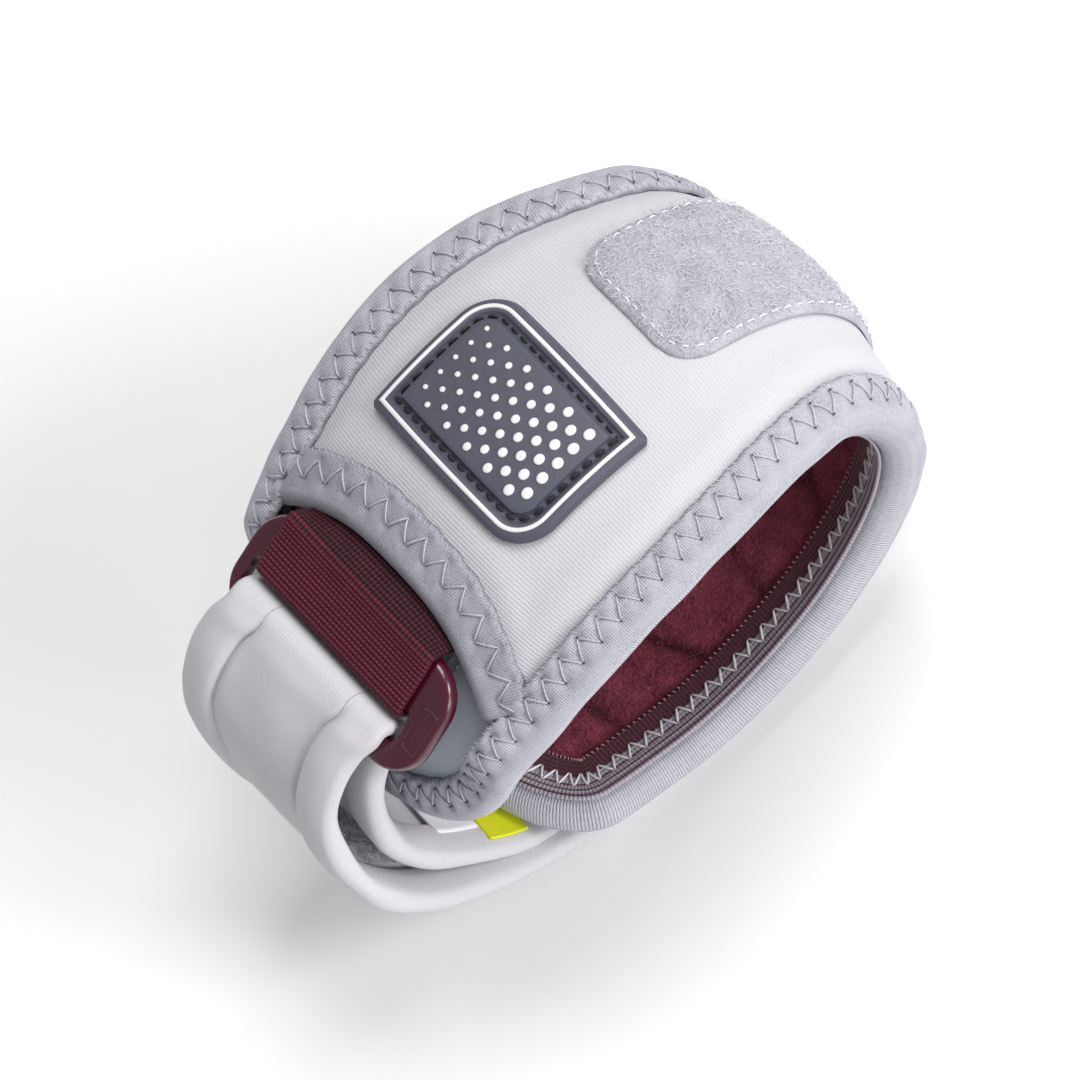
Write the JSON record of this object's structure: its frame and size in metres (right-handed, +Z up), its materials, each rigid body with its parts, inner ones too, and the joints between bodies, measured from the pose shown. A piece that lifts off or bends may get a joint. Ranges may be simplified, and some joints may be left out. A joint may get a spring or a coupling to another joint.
{
  "type": "tennis elbow strap",
  "caption": "Padded forearm cuff with bound rims, fleece lining and a rubber badge, closed by a padded strap that folds back through a buckle.",
  "frame": {"origin": "on the floor under the middle of the cuff's opening, in the flat of the strap it rests on", "axes": "+Z up with the badge on top, the arm goes through along Y with the badge's front rim at -Y, the buckle at -X"},
  "size_m": [0.1329, 0.0802, 0.0923],
  "materials": {
    "knit_foam": "fine pale knit over foam",
    "fleece": "short dark fleece",
    "tape": "brushed stretch tape",
    "flap_film": "smooth semi-gloss sheet",
    "border": "striped ribbed elastic",
    "badge_rubber": "moulded, matt",
    "badge_line": "moulded line, matt",
    "loop_felt": "fuzzy loop felt",
    "buckle_plastic": "satin moulding",
    "webbing": "ribbed elastic webbing",
    "strap_foam": "fine pale knit over foam, rolled edges",
    "strap_felt": "curly loop felt",
    "hook": "hook tape",
    "tab_green": "flat woven tab",
    "label_white": "glossy plain label"
  },
  "bodies": {
    "root": {"outer_panel": "knit_foam", "lining": "fleece", "rim_binding": "tape", "scoop_binding": "tape", "under_flap": "flap_film", "elastic_border": "border", "badge": "badge_rubber", "badge_border": "badge_line", "loop_patch": "loop_felt", "buckle": "buckle_plastic", "webbing": "webbing", "strap": "strap_foam", "outer_felt": "strap_felt", "inner_felt": "strap_felt", "hook_tab": "hook", "bright_tab": "tab_green", "care_label": "label_white"}
  },
  "joints": []
}
